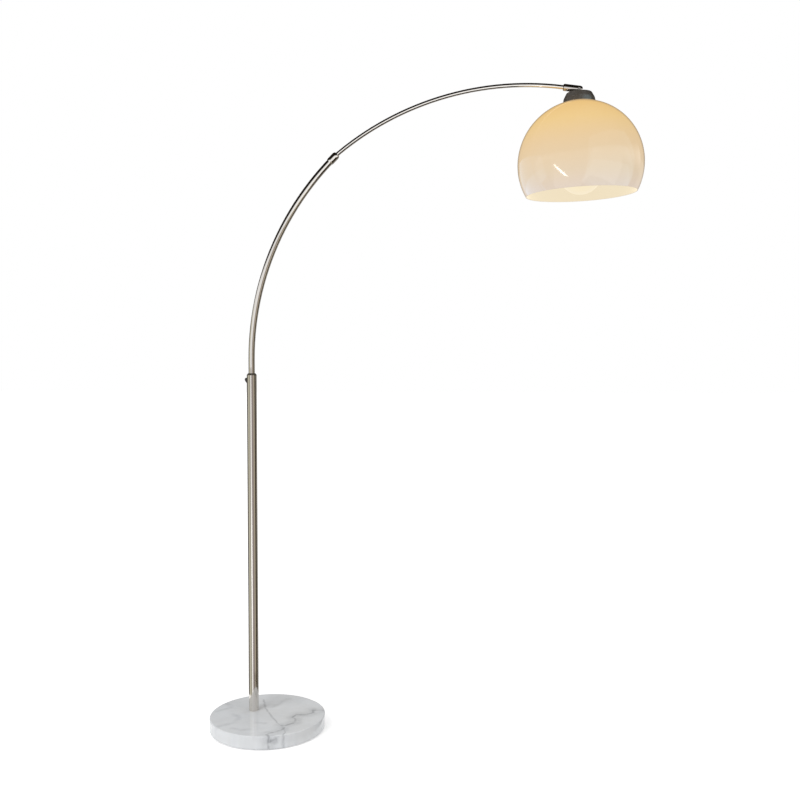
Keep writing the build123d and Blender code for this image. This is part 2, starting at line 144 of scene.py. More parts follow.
class LampFinish(bpy.types.PropertyGroup):
    """Colours and gloss of the lamp's materials."""
    marble_white: colour("Marble", "Ground colour of the stone", (0.865, 0.892, 0.924))
    marble_cloud: colour("Marble clouds", "Greyer clouds in the stone", (0.70, 0.72, 0.745))
    marble_warm: colour("Marble warm", "Warmer patches in the stone", (0.80, 0.79, 0.765))
    marble_vein: colour("Marble veins", "Colour at the middle of a vein", (0.27, 0.28, 0.30))
    marble_roughness: share("Marble roughness", "Polish of the stone", 0.05)
    steel: colour("Steel", "Tint of the bright steel", (0.78, 0.75, 0.71))
    pole_roughness: share("Pole roughness", "Satin finish of the pole", 0.09)
    arc_roughness: share("Arc roughness", "Polish of the arc's tubes", 0.05)
    sleeve: colour("Sleeve", "Tint of the sleeve at the arc's end", (0.56, 0.53, 0.50))
    sleeve_roughness: share("Sleeve roughness", "Polish of the sleeve at the arc's end", 0.02)
    nickel: colour("Dark nickel", "Tint of the dark fittings", (0.165, 0.143, 0.118))
    nickel_cloud: colour("Nickel cloud", "Pale bloom on the spun cap", (0.30, 0.285, 0.27))
    # Painted shade: colour that the spun cap darkens to at its outline
    nickel_painted_edge: colour("Nickel edge", "Spun cap where it turns away", (0.03, 0.024, 0.018))
    nickel_roughness: share("Nickel roughness", "Brushed finish of the dark fittings", 0.30)
    nickel_metal: share("Nickel metal", "How metallic the dark fittings look", 0.55)
    brass: colour("Brass", "Tint of the bulb's cap", (0.72, 0.56, 0.28))
    brass_roughness: share("Brass roughness", "Turned finish of the bulb's cap", 0.3)
    opal_inside: colour("Shade inside", "Colour of the shade's lit inside", (0.892, 0.782, 0.578))
    opal_glow: share("Shade glow", "Part of the shade's colour that is its own light", 0.8)
    opal_roughness: share("Shade roughness", "Polish of the shade's outside", 0.06)
    opal_inside_roughness: share("Inside roughness", "Polish of the shade's inside", 0.3)
    # Painted shade: how far the opal shade's outline is darkened in its colour
    opal_painted_outline: share("Shade edge", "Darkening of the shade toward its outline", 0.75)
    bulb: colour("Bulb", "Colour of the lit bulb", (0.92, 0.80, 0.56))


class LampShapes(bpy.types.PropertyGroup):
    """Sizes of the pieces that are made here."""
    shade_drop: length("Shade drop", "From the pivot down to the shade's middle", 0.216672)
    shade_tilt: angle("Shade tilt", "Lean of the shade's axis", 1.5)
    shade_radius: length("Shade radius", "Outside radius of the shade", 0.182)
    shade_wall: length("Shade wall", "Thickness of the shade", 0.0025)
    shade_rim_drop: length("Rim drop", "From the shade's middle down to its rim", 0.0845)
    rim_lean: angle("Rim lean", "How far the near side of the rim hangs down", 1.85)
    rim_tilt: angle("Rim tilt", "How far the pole's side of the rim hangs down", 0.7)
    shade_hole_radius: length("Shade hole", "Radius of the hole in the shade's crown", 0.021)
    cap_level: length("Cap level", "Top of the cap above the shade's middle", 0.205372)
    cap_top_radius: length("Cap top", "Radius of the cap's flat top", 0.0365)
    cap_bevel_radius: length("Cap bevel", "Radius of the cap where its skirt starts", 0.0445)
    cap_bevel_height: length("Cap bevel height", "Height of the cap's bevel", 0.015)
    cap_skirt_radius: length("Cap skirt", "Radius of the cap's lower edge", 0.0475)
    cap_skirt_height: length("Cap skirt height", "Height of the cap's skirt", 0.014)
    cap_hole_radius: length("Cap hole", "Radius of the hole for the stem", 0.0053)
    cap_wall: length("Cap wall", "Thickness of the cap", 0.0012)
    cap_round: length("Cap round", "Rounding of the cap's edges", 0.0016)
    screw_start: length("Screw tip", "From the pole's axis to the tip of the wing screw", 0.00965)
    screw_radius: length("Screw radius", "Radius of the wing screw's shank", 0.003)
    knob_foot: length("Knob foot", "From the pole's axis to the wing screw's head", 0.0188)
    knob_height: length("Knob height", "Height of the wing screw's head", 0.014)
    knob_hub: length("Knob hub", "Radius of the head between its wings", 0.0118)
    knob_reach: length("Knob reach", "Radius of the head at the tips of its wings", 0.0195)
    knob_turn: angle("Knob turn", "Rise of the near wing above level", 34)
    knob_round: length("Knob round", "Rounding of the head's edges", 0.0012)
    knob_sharpness: number("Knob sharpness", "How narrow the wings are", 8)
    globe_radius: length("Globe radius", "Radius of the bulb", 0.0625)
    globe_drop: length("Globe drop", "Middle of the bulb below the shade's middle", 0.0242)
    globe_shoulder: angle("Globe shoulder", "Where the ball of the bulb runs into its neck", 42)
    neck_radius: length("Neck radius", "Radius of the bulb's neck", 0.0132)
    neck_level: length("Neck level", "Top of the neck above the shade's middle", 0.069172)
    round_steps: number("Round steps", "Faces round a turned piece", 160)
    shade_steps: number("Shade steps", "Points from the shade's rim to its hole", 88)
    globe_steps: number("Globe steps", "Points from the bulb's foot to its shoulder", 60)
    neck_steps: number("Neck steps", "Points from the bulb's shoulder to its neck", 24)


class LampStudio(bpy.types.PropertyGroup):
    """Camera, light and surroundings."""
    camera_place: spot("Camera", "Place of the camera", "TRANSLATION", (0.771879, -2.817651, 1.12528))
    camera_aim: spot("Aim", "Direction of the camera", "DIRECTION", (-0.1112505, 0.99291562, -0.04173615))
    camera_lens: amount("Lens", "Focal length", "CAMERA", 42.4665)
    camera_sensor: amount("Sensor", "Width of the sensor", "CAMERA", 36)
    floor_colour: colour("Floor", "Colour of the floor", (0.86, 0.86, 0.86))
    floor_half: length("Floor half", "Half the width of the floor", 30)
    light_target: spot("Light target", "Where the soft lights aim", "TRANSLATION", (0.5, 0, 0.9))
    sky_strength: amount("Sky", "Strength of the even light", "NONE", 0.55)
    key_power: amount("Key light", "Power of the main soft light", "POWER", 68)
    fill_power: amount("Fill light", "Power of the second soft light", "POWER", 14)
    carpet_height: length("Carpet height", "Level of the cards that lie on the floor", 0.004)
    carpet_hole: length("Carpet hole", "Clear radius of floor round the pole", 0.26)
    strip_distance: length("Strip distance", "From the shade to the bright strips", 2.5)


# Node helpers
def add(tree, kind, inputs=None, **settings):
    """Adds a node, sets its properties and fills or links its inputs."""
    made = tree.nodes.new(kind)
    for key, value in settings.items():
        setattr(made, key, value)
    for key, value in (inputs or {}).items():
        if isinstance(value, bpy.types.NodeSocket):
            tree.links.new(value, made.inputs[key])
        else:
            made.inputs[key].default_value = value
    return made


def calc(tree, operation, *values, clamp=False):
    """Output of a Math node."""
    made = add(tree, "ShaderNodeMath", dict(enumerate(values)), operation=operation, use_clamp=clamp)
    return made.outputs[0]


def vector(tree, operation, *values):
    """Output of a Vector Math node, a number for dot products and lengths."""
    keys = (0, "Scale") if operation == "SCALE" else range(len(values))
    made = add(tree, "ShaderNodeVectorMath", dict(zip(keys, values)), operation=operation)
    return made.outputs["Value" if operation in {"DOT_PRODUCT", "LENGTH", "DISTANCE"} else "Vector"]


def blend(tree, factor, low, high):
    """Colour between two colours."""
    return add(tree, "ShaderNodeMix", {0: factor, 6: low, 7: high}, data_type="RGBA").outputs[2]


def fade(tree, value, low, high, at_low, at_high):
    """Smooth step of a value from one level to another."""
    levels = {"Value": value, "From Min": low, "From Max": high, "To Min": at_low, "To Max": at_high}
    return add(tree, "ShaderNodeMapRange", levels, interpolation_type="SMOOTHSTEP").outputs[0]


def noise(tree, point, scale, detail=4.0, roughness=0.55, output="Fac"):
    """Noise at a point."""
    made = add(tree, "ShaderNodeTexNoise", {"Vector": point, "Scale": scale, "Detail": detail,
                                            "Roughness": roughness})
    return made.outputs[output]


def by_height(tree, point, stops):
    """Colour that runs through stops of (height, colour)."""
    height = add(tree, "ShaderNodeSeparateXYZ", {"Vector": point}).outputs["Z"]
    (low, tone), *rest = stops
    tone = opaque(tone)
    for level, next_tone in rest:
        step = add(tree, "ShaderNodeMapRange", {"Value": height, "From Min": low, "From Max": level})
        tone = blend(tree, step.outputs[0], tone, opaque(next_tone))
        low = level
    return tone


def object_point(tree):
    """Point on the piece, in the piece's own frame."""
    return add(tree, "ShaderNodeTexCoord").outputs["Object"]


def opaque(rgb):
    """Colour with its alpha."""
    return (*rgb, 1.0)


def new_group(name, inputs, outputs):
    """Empty node group with named sockets, and its input and output nodes."""
    tree = bpy.data.node_groups.new(name, "ShaderNodeTree")
    for way, sockets in (("INPUT", inputs), ("OUTPUT", outputs)):
        for label, kind in sockets:
            tree.interface.new_socket(label, in_out=way, socket_type=f"NodeSocket{kind}")
    return tree, add(tree, "NodeGroupInput").outputs, add(tree, "NodeGroupOutput").inputs


def use(tree, group, inputs):
    """Places a node group."""
    return add(tree, "ShaderNodeGroup", inputs, node_tree=bpy.data.node_groups[group]).outputs


def mottle(tree, point, scale):
    """Cloudy variation at a point."""
    return use(tree, "mottle", {"Point": point, "Scale": scale})["Amount"]


def facing(tree, balance):
    """How far the surface turns away from the eye, from 0 to 1."""
    return add(tree, "ShaderNodeLayerWeight", {"Blend": balance}).outputs["Facing"]


def seen_rays(tree):
    """Mask of what the camera sees, straight or in a mirror, and the kinds of ray."""
    rays = add(tree, "ShaderNodeLightPath").outputs
    return calc(tree, "MAXIMUM", rays["Is Camera Ray"], rays["Is Glossy Ray"]), rays


# Shared effects
def make_vein_group():
    """Distance to one straight run of a vein, in widths of the vein, or the one so far if that is less."""
    sockets = (("Point", "Vector"), ("Start", "Vector"), ("End", "Vector"), ("Width", "Float"),
               ("So Far", "Float"))
    tree, given, result = new_group("vein_run", sockets, (("Distance", "Float"),))
    from_start = vector(tree, "SUBTRACT", given["Point"], given["Start"])
    run = vector(tree, "SUBTRACT", given["End"], given["Start"])
    along = calc(tree, "DIVIDE", vector(tree, "DOT_PRODUCT", from_start, run),
                 vector(tree, "DOT_PRODUCT", run, run), clamp=True)
    away = vector(tree, "LENGTH", vector(tree, "SUBTRACT", from_start, vector(tree, "SCALE", run, along)))
    tree.links.new(calc(tree, "MINIMUM", given["So Far"], calc(tree, "DIVIDE", away, given["Width"])),
                   result["Distance"])


def make_mottle_group():
    """Cloudy variation of two sizes, from 0 to 1."""
    tree, given, result = new_group("mottle", (("Point", "Vector"), ("Scale", "Float")),
                                    (("Amount", "Float"),))
    wide = noise(tree, given["Point"], given["Scale"])
    fine = noise(tree, given["Point"], calc(tree, "MULTIPLY", given["Scale"], 7.0), detail=2.0)
    mixed = calc(tree, "ADD", calc(tree, "MULTIPLY", wide, 0.7), calc(tree, "MULTIPLY", fine, 0.3))
    tree.links.new(fade(tree, mixed, 0.3, 0.7, 0.0, 1.0), result["Amount"])


def make_brush_group():
    """Fine brushed lines drawn out along one direction of the point given, from 0 to 1."""
    tree, given, result = new_group("brushed_lines", (("Point", "Vector"), ("Stretch", "Vector")),
                                    (("Lines", "Float"), ("Patches", "Float")))
    drawn = vector(tree, "MULTIPLY", given["Point"], given["Stretch"])
    tree.links.new(noise(tree, drawn, 1.0, detail=3.0), result["Lines"])
    tree.links.new(noise(tree, given["Point"], 22.0, detail=3.0), result["Patches"])


def make_turned_group():
    """Point as radius, turn and height about an upright axis, for marks left by turning."""
    tree, given, result = new_group("turned_point", (("Point", "Vector"), ("Centre", "Vector")),
                                    (("Point", "Vector"),))
    parts = add(tree, "ShaderNodeSeparateXYZ",
                {"Vector": vector(tree, "SUBTRACT", given["Point"], given["Centre"])}).outputs
    radius = calc(tree, "SQRT", calc(tree, "ADD", calc(tree, "MULTIPLY", parts["X"], parts["X"]),
                                     calc(tree, "MULTIPLY", parts["Y"], parts["Y"])))
    turn = calc(tree, "ARCTAN2", parts["Y"], parts["X"])
    joined = add(tree, "ShaderNodeCombineXYZ", {"X": radius, "Y": turn, "Z": parts["Z"]})
    tree.links.new(joined.outputs[0], result["Point"])


# Materials
def new_material(name, **constants):
    """Material with one Principled shader, its plain numbers and colours set on the shader itself."""
    material = bpy.data.materials.new(name)
    material.use_nodes = True
    tree = material.node_tree
    shader = tree.nodes["Principled BSDF"]
    for key, value in constants.items():
        shader.inputs[key.replace("_", " ")].default_value = value
    return material, tree, shader.inputs


def bump(tree, target, height, distance):
    """Feeds a height to the shader's normal."""
    made = add(tree, "ShaderNodeBump", {"Height": height, "Distance": distance, "Strength": 1.0})
    tree.links.new(made.outputs[0], target["Normal"])


def marble(finish):
    """Polished white stone with a zigzag vein, finer side veins and soft grey clouds."""
    material, tree, shader = new_material("polished_marble", IOR=1.49)
    point = object_point(tree)
    flat = vector(tree, "MULTIPLY", point, (1.0, 1.0, 0.25))
    sway = vector(tree, "SUBTRACT", noise(tree, point, 45.0, output="Color"), (0.5, 0.5, 0.5))
    bent = vector(tree, "ADD", point, vector(tree, "SCALE", sway, 0.012))
    bent = vector(tree, "MULTIPLY", bent, (1.0, 1.0, 0.0))

    def nearest(lines, width):
        """Distance to the nearest of the lines, in widths."""
        so_far = 100.0
        for line in lines:
            for start, end in zip(line, line[1:]):
                so_far = use(tree, "vein_run", {"Point": bent, "Start": (*start, 0), "End": (*end, 0),
                                                "Width": width, "So Far": so_far})["Distance"]
        return so_far

    bold = nearest(BOLD_VEINS, BOLD_WIDTH)
    fine = nearest(FINE_VEINS, FINE_WIDTH)
    faint = nearest(FAINT_VEINS, FAINT_WIDTH)
    blurred = vector(tree, "ADD", point, vector(tree, "SCALE", sway, 0.03))
    smudge = fade(tree, vector(tree, "DISTANCE", blurred, SMUDGE), 0.002, SMUDGE_REACH, 0.85, 0.0)
    cloud = mottle(tree, flat, 9.0)
    ground = blend(tree, calc(tree, "MULTIPLY", cloud, 0.55), opaque(finish.marble_white),
                   opaque(finish.marble_cloud))
    warm = mottle(tree, vector(tree, "ADD", flat, (3.1, 1.7, 0.4)), 5.0)
    ground = blend(tree, calc(tree, "MULTIPLY", warm, 0.35), ground, opaque(finish.marble_warm))
    break_up = fade(tree, noise(tree, point, 60.0), 0.3, 0.62, 0.45, 1.0)
    core = calc(tree, "MAXIMUM", fade(tree, bold, 0.0, 1.6, 0.70, 0.0),
                fade(tree, fine, 0.0, 1.5, 0.42, 0.0))
    halo = calc(tree, "MAXIMUM", fade(tree, bold, 0.5, 6.0, 0.28, 0.0),
                fade(tree, faint, 0.0, 2.4, 0.18, 0.0))
    marks = calc(tree, "MAXIMUM", core, calc(tree, "MAXIMUM", halo, smudge))
    dark = calc(tree, "MULTIPLY", marks, break_up)
    tree.links.new(blend(tree, dark, ground, opaque(finish.marble_vein)), shader["Base Color"])
    gloss = calc(tree, "MULTIPLY_ADD", dark, 0.06, finish.marble_roughness)
    tree.links.new(gloss, shader["Roughness"])
    bump(tree, shader, noise(tree, point, 500.0, detail=2.0), 0.00002)
    return material


def brushed_metal(name, tint, roughness, stretch, centre=None, metallic=1.0):
    """Metal with fine lines from brushing or turning."""
    material, tree, shader = new_material(name, Metallic=metallic)
    point = object_point(tree)
    if centre is not None:
        point = use(tree, "turned_point", {"Point": point, "Centre": centre})["Point"]
    marks = use(tree, "brushed_lines", {"Point": point, "Stretch": stretch})
    darker = tuple(0.86 * c for c in tint)
    tree.links.new(blend(tree, marks["Lines"], opaque(darker), opaque(tint)), shader["Base Color"])
    spread = calc(tree, "MULTIPLY_ADD", marks["Patches"], 0.5 * roughness, 0.72 * roughness)
    tree.links.new(spread, shader["Roughness"])
    bump(tree, shader, marks["Lines"], 0.00001)
    return material


def spun_nickel(finish):
    """Spun dark nickel, cloudy, with painted shade darkening it toward its outline."""
    material = brushed_metal("spun_nickel", finish.nickel, finish.nickel_roughness, CAP_LINES, (0, 0, 0),
                             finish.nickel_metal)
    tree = material.node_tree
    base = tree.nodes["Principled BSDF"].inputs["Base Color"]
    brushed = base.links[0].from_socket
    cloud = mottle(tree, object_point(tree), 26.0)
    lighter = blend(tree, calc(tree, "MULTIPLY", cloud, 0.45), brushed, opaque(finish.nickel_cloud))
    # Painted shade: the colour darkens where the cap turns away from the eye
    edge = calc(tree, "POWER", facing(tree, 0.35), 2.0)
    tree.links.new(blend(tree, edge, lighter, opaque(finish.nickel_painted_edge)), base)
    return material


def polished_metal(name, tint, roughness):
    """Bright metal with faint smudges."""
    material, tree, shader = new_material(name, Metallic=1.0)
    point = object_point(tree)
    smudge = mottle(tree, point, 14.0)
    dull = tuple(0.93 * c for c in tint)
    tree.links.new(blend(tree, smudge, opaque(tint), opaque(dull)), shader["Base Color"])
    tree.links.new(calc(tree, "MULTIPLY_ADD", smudge, 0.8 * roughness, roughness), shader["Roughness"])
    bump(tree, shader, noise(tree, point, 700.0, detail=2.0), 0.000004)
    return material


def zinc_steel():
    """Zinc plated hardware with a cloudy sheen."""
    material, tree, shader = new_material("zinc_steel", Metallic=1.0)
    point = object_point(tree)
    cloud = mottle(tree, point, 120.0)
    tree.links.new(blend(tree, cloud, (0.62, 0.64, 0.66, 1), (0.55, 0.54, 0.47, 1)), shader["Base Color"])
    tree.links.new(calc(tree, "MULTIPLY_ADD", cloud, 0.16, 0.24), shader["Roughness"])
    bump(tree, shader, noise(tree, point, 900.0), 0.00001)
    return material


def moulded(name):
    """Moulded plastic, rubber, ceramic or painted metal with a fine skin."""
    light, dark, roughness, scale, depth = MOULDINGS[name]
    material, tree, shader = new_material(name)
    point = object_point(tree)
    cloud = mottle(tree, point, scale)
    tree.links.new(blend(tree, cloud, opaque(light), opaque(dark)), shader["Base Color"])
    tree.links.new(calc(tree, "MULTIPLY_ADD", cloud, 0.12, roughness), shader["Roughness"])
    bump(tree, shader, noise(tree, point, 14.0 * scale), depth)
    return material


def felt():
    """Pressed grey felt with loose fibres."""
    material, tree, shader = new_material("felt", Sheen_Weight=0.4, Sheen_Roughness=0.6)
    point = object_point(tree)
    cloud = mottle(tree, point, 180.0)
    upright = vector(tree, "MULTIPLY", point, (1.0, 1.0, 3.0))
    fibres = noise(tree, upright, 1600.0, detail=6.0, roughness=0.8)
    grey = blend(tree, cloud, (0.045, 0.045, 0.047, 1), (0.085, 0.085, 0.088, 1))
    tree.links.new(grey, shader["Base Color"])
    tree.links.new(calc(tree, "MULTIPLY_ADD", fibres, 0.1, 0.9), shader["Roughness"])
    bump(tree, shader, fibres, 0.0006)
    return material


def lit_opal(name, stops, glow, roughness, painted_outline_shade):
    """Opal plastic that glows, with painted shade darkening its outline; the stops give its colour by
    height.
    """
    material, tree, shader = new_material(name, IOR=1.49, Emission_Strength=1.0, Specular_IOR_Level=0.3)
    point = object_point(tree)
    cloud = mottle(tree, point, 6.0)
    milk = calc(tree, "MULTIPLY", cloud, 0.03)
    tone = blend(tree, milk, by_height(tree, point, stops), (1.0, 0.95, 0.88, 1.0))
    # Painted shade: the colour darkens to brown where the surface turns away from the eye
    edge = fade(tree, facing(tree, 0.5), 0.74, 0.96, 0.0, painted_outline_shade)
    tone = blend(tree, edge, tone, (0.26, 0.20, 0.15, 1.0))
    tree.links.new(blend(tree, glow, tone, opaque(BLACK)), shader["Base Color"])
    tree.links.new(blend(tree, glow, opaque(BLACK), tone), shader["Emission Color"])
    tree.links.new(calc(tree, "MULTIPLY_ADD", cloud, 0.03, roughness), shader["Roughness"])
    bump(tree, shader, noise(tree, point, 60.0), 0.000004)
    return material


def lit_glass(finish, bottom, top):
    """Frosted bulb that glows, less at its neck; bottom and top are its lowest and highest levels."""
    material, tree, shader = new_material("lit_bulb_glass", Base_Color=(0.04, 0.035, 0.03, 1),
                                          Emission_Strength=1.0)
    point = object_point(tree)
    height = add(tree, "ShaderNodeSeparateXYZ", {"Vector": point}).outputs["Z"]
    neck = fade(tree, height, bottom + 0.6 * (top - bottom), top, 0.0, 0.6)
    frost = mottle(tree, point, 40.0)
    warm = blend(tree, calc(tree, "MULTIPLY", frost, 0.06), opaque(finish.bulb), (0.9, 0.7, 0.42, 1))
    edge = fade(tree, facing(tree, 0.5), 0.2, 0.75, 0.0, 1.0)
    warm = blend(tree, edge, warm, opaque(finish.opal_inside))
    tree.links.new(blend(tree, neck, warm, (0.55, 0.40, 0.22, 1)), shader["Emission Color"])
    tree.links.new(calc(tree, "MULTIPLY_ADD", frost, 0.1, 0.35), shader["Roughness"])
    bump(tree, shader, noise(tree, point, 900.0), 0.00001)
    return material


# Mesh helpers
def dress(material, *nodes):
    """Gives CAD nodes a material."""
    for name in nodes:
        mesh = frame["nodes"][name].data
        mesh.materials.clear()
        mesh.materials.append(material)


def head_frame(shapes):
    """Frame at the middle of the shade, with Z up along the shade's axis."""
    lean = Matrix.Rotation(-shapes.shade_tilt, 4, "Y")
    return Matrix.Translation(PIVOT) @ lean @ Matrix.Translation((0, 0, -shapes.shade_drop))


def loft(name, rings, slots, place, closed):
    """Piece through rings of points, with a slot for each ring; a ring of one point closes an end."""
    mesh = bmesh.new()
    made = [[mesh.verts.new(point) for point in ring] for ring in rings]
    following = made[1:] + made[:1] if closed else made[1:]
    for slot, ring, after in zip(slots, made, following):
        steps = max(len(ring), len(after))
        for i in range(steps):
            j = (i + 1) % steps
            corners = (ring[i % len(ring)], ring[j % len(ring)],
                       after[j % len(after)], after[i % len(after)])
            face = mesh.faces.new(list(dict.fromkeys(corners)))
            face.material_index = slot
            face.smooth = True
    bmesh.ops.recalc_face_normals(mesh, faces=mesh.faces)
    data = bpy.data.meshes.new(name)
    mesh.to_mesh(data)
    mesh.free()
    piece = bpy.data.objects.new(name, data)
    piece.matrix_world = place
    bpy.context.scene.collection.objects.link(piece)
    return piece


def circle(radius, height, steps):
    """Level ring of points, or one point on the axis."""
    turns = [tau * i / steps for i in range(steps if radius else 1)]
    return [(radius * cos(a), radius * sin(a), height) for a in turns]


def lathe(name, outline, steps, place, closed=True):
    """Turned piece from an outline of (radius, height, material slot) points."""
    rings = [circle(radius, height, steps) for radius, height, _ in outline]
    return loft(name, rings, [slot for *_, slot in outline], place, closed)


def curve(points, count):
    """Points along a Bezier curve with three or four control points."""
    run = []
    for i in range(count):
        level = [Vector(p) for p in points]
        while len(level) > 1:
            level = [a.lerp(b, i / (count - 1)) for a, b in zip(level, level[1:])]
        run.append(tuple(level[0]))
    return run


def softened(points, radius):
    """Closed outline with its corners rounded off."""
    outline = []
    corners = [Vector(p) for p in points]
    for before, corner, after in zip(corners[-1:] + corners, corners, corners[1:] + corners[:1]):
        ways = [end - corner for end in (before, after)]
        near = [corner + way.normalized() * min(radius, way.length / 3) for way in ways]
        outline += curve((near[0], corner, near[1]), BEND_STEPS)
    return outline


def arc_points(radius, start, end, count):
    """Points of an arc about the middle of a ball, as (radius, height)."""
    angles = (start + (end - start) * i / (count - 1) for i in range(count))
    return [(radius * cos(a), radius * sin(a)) for a in angles]


class LAMP_OT_foot(bpy.types.Operator):
    """Dress the marble disc, its pad, its grommet and all the zinc plated hardware"""
    bl_idname = "lamp.foot"
    bl_label = "Marble foot"

    def execute(self, context):
        dress(marble(context.scene.lamp_finish), "base_disc")
        dress(felt(), "base_pad")
        dress(moulded("rubber"), "cord_grommet")
        dress(zinc_steel(), "base_washer", "base_nut", "pole_stud", "pole_foot_plug", "stem_coupling",
              "stem_pipe", "shade_plate", "plate_nut", "pivot_nut")
        return {"FINISHED"}


class LAMP_OT_pole(bpy.types.Operator):
    """Dress the satin pole, its top bush and the screw's boss"""
    bl_idname = "lamp.pole"
    bl_label = "Pole"

    def execute(self, context):
        finish = context.scene.lamp_finish
        dress(brushed_metal("satin_steel", finish.steel, finish.pole_roughness, POLE_LINES), "pole")
        dress(brushed_metal("turned_nickel", finish.nickel, finish.nickel_roughness, BUSH_LINES, (0, 0, 0),
                            finish.nickel_metal), "pole_top_bush", "screw_boss")
        return {"FINISHED"}


class LAMP_OT_screw(bpy.types.Operator):
    """Make the wing screw that holds the arc in the pole"""
    bl_idname = "lamp.screw"
    bl_label = "Wing screw"

    def execute(self, context):
        shapes = context.scene.lamp_shapes
        joint = JOINTS["screw_turn"]
        out = Vector(joint["axis"])
        turned = Matrix((UP.cross(out), UP, out)).transposed().to_4x4()
        place = Matrix.Translation(joint["pos_m"]) @ turned
        steps, foot, soft = shapes.round_steps, shapes.knob_foot, shapes.knob_round
        top = foot + shapes.knob_height
        lip, draft = 2 * soft, 0.3 * soft

        def wings(part, inset, level):
            """Ring of the head, as a part of its outline less an inset."""
            ring = []
            for a in (tau * i / steps for i in range(steps)):
                sharp = cos(a - shapes.knob_turn) ** shapes.knob_sharpness
                wing = (shapes.knob_reach - shapes.knob_hub) * sharp
                radius = part * (shapes.knob_hub + wing - inset)
                dish = (top - level) * (1 - (radius / shapes.knob_reach) ** 2) if part < 1 else 0
                ring.append((radius * cos(a), radius * sin(a), level - dish))
            return ring

        side = curve(((soft, foot), (0, foot), (0, foot + soft)), BEND_STEPS)
        side += curve(((draft, top - lip - soft), (draft, top - lip), (lip, top - lip)), BEND_STEPS)
        rings = [circle(0, shapes.screw_start, steps),
                 circle(shapes.screw_radius, shapes.screw_start, steps),
                 circle(shapes.screw_radius, foot, steps)]
        rings += [wings(1, inset, level) for inset, level in side]
        rings += [wings(part, lip, top - lip) for part in DISH_RINGS]
        rings.append(circle(0, rings[-1][0][2], steps))
        screw = loft("wing_screw_head", rings, [0] * len(rings), place, False)
        screw.data.materials.append(moulded("black_screw"))
        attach(screw, "wing_screw")
        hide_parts("clamp_screw")
        return {"FINISHED"}


class LAMP_OT_arc(bpy.types.Operator):
    """Dress the telescopic arc, its collar, and the plastic bushes and washers"""
    bl_idname = "lamp.arc"
    bl_label = "Arc"

    def execute(self, context):
        finish = context.scene.lamp_finish
        dress(polished_metal("polished_steel", finish.steel, finish.arc_roughness), "arc_lower_tube",
              "arc_upper_tube", "arc_collar")
        dress(moulded("guide_plastic"), "spigot_guide", "collar_bush", "stop_bush", "pivot_washers")
        return {"FINISHED"}


class LAMP_OT_knuckle(bpy.types.Operator):
    """Dress the end sleeve, its screw and the tilting tongue"""
    bl_idname = "lamp.knuckle"
    bl_label = "Knuckle"

    def execute(self, context):
        finish = context.scene.lamp_finish
        dress(brushed_metal("brushed_nickel", finish.nickel, finish.nickel_roughness, TONGUE_LINES,
                            metallic=finish.nickel_metal), "swivel_tongue")
        dress(polished_metal("sleeve_nickel", finish.sleeve, finish.sleeve_roughness), "end_sleeve")
        dress(bpy.data.materials["polished_steel"], "pivot_screw")
        return {"FINISHED"}


class LAMP_OT_cap(bpy.types.Operator):
    """Make the spun cap on the shade's crown"""
    bl_idname = "lamp.cap"
    bl_label = "Spun cap"

    def execute(self, context):
        finish, shapes = context.scene.lamp_finish, context.scene.lamp_shapes
        top, wall = shapes.cap_level, shapes.cap_wall
        shoulder = top - shapes.cap_bevel_height
        bottom = shoulder - shapes.cap_skirt_height
        corners = [(shapes.cap_hole_radius, top), (shapes.cap_top_radius, top),
                   (shapes.cap_bevel_radius, shoulder), (shapes.cap_skirt_radius, bottom),
                   (shapes.cap_skirt_radius - wall, bottom), (shapes.cap_bevel_radius - wall, shoulder),
                   (shapes.cap_top_radius - wall, top - wall), (shapes.cap_hole_radius, top - wall)]
        outline = [(*point, 0) for point in softened(corners, shapes.cap_round)]
        cap = lathe("spun_cap", outline, shapes.round_steps, head_frame(shapes))
        cap.data.materials.append(spun_nickel(finish))
        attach(cap, "head")
        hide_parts("shade_cap")
        return {"FINISHED"}


class LAMP_OT_shade(bpy.types.Operator):
    """Make the opal shade and its two lit faces"""
    bl_idname = "lamp.shade"
    bl_label = "Opal shade"

    def execute(self, context):
        finish, shapes = context.scene.lamp_finish, context.scene.lamp_shapes
        outline = []
        for radius, slot in ((shapes.shade_radius, 0), (shapes.shade_radius - shapes.shade_wall, 1)):
            rim = asin(shapes.shade_rim_drop / radius)
            hole = acos(shapes.shade_hole_radius / radius)
            points = arc_points(radius, -rim, hole, shapes.shade_steps)
            outline += [(*p, slot) for p in (points if slot == 0 else reversed(points))]
        half = shapes.shade_wall / 2
        edge = (outline[0][0] + outline[-1][0]) / 2
        turns = [pi * i / BEND_STEPS for i in range(BEND_STEPS - 1, 0, -1)]
        outline += [(edge + half * cos(a), -shapes.shade_rim_drop - half * sin(a), 0) for a in turns]
        lean = Matrix.Rotation(shapes.rim_lean, 4, "X") @ Matrix.Rotation(-shapes.rim_tilt, 4, "Y")
        shade = lathe("opal_shade", outline, shapes.round_steps, head_frame(shapes) @ lean)
        glow, tones = finish.opal_glow, ((0.0, finish.opal_inside),)
        outside = lit_opal("opal_outside", OPAL_TONES, glow, finish.opal_roughness, finish.opal_painted_outline)
        inside = lit_opal("opal_inside", tones, glow, finish.opal_inside_roughness, 0.0)
        for material in (outside, inside):
            shade.data.materials.append(material)
        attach(shade, "head")
        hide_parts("shade")
        return {"FINISHED"}


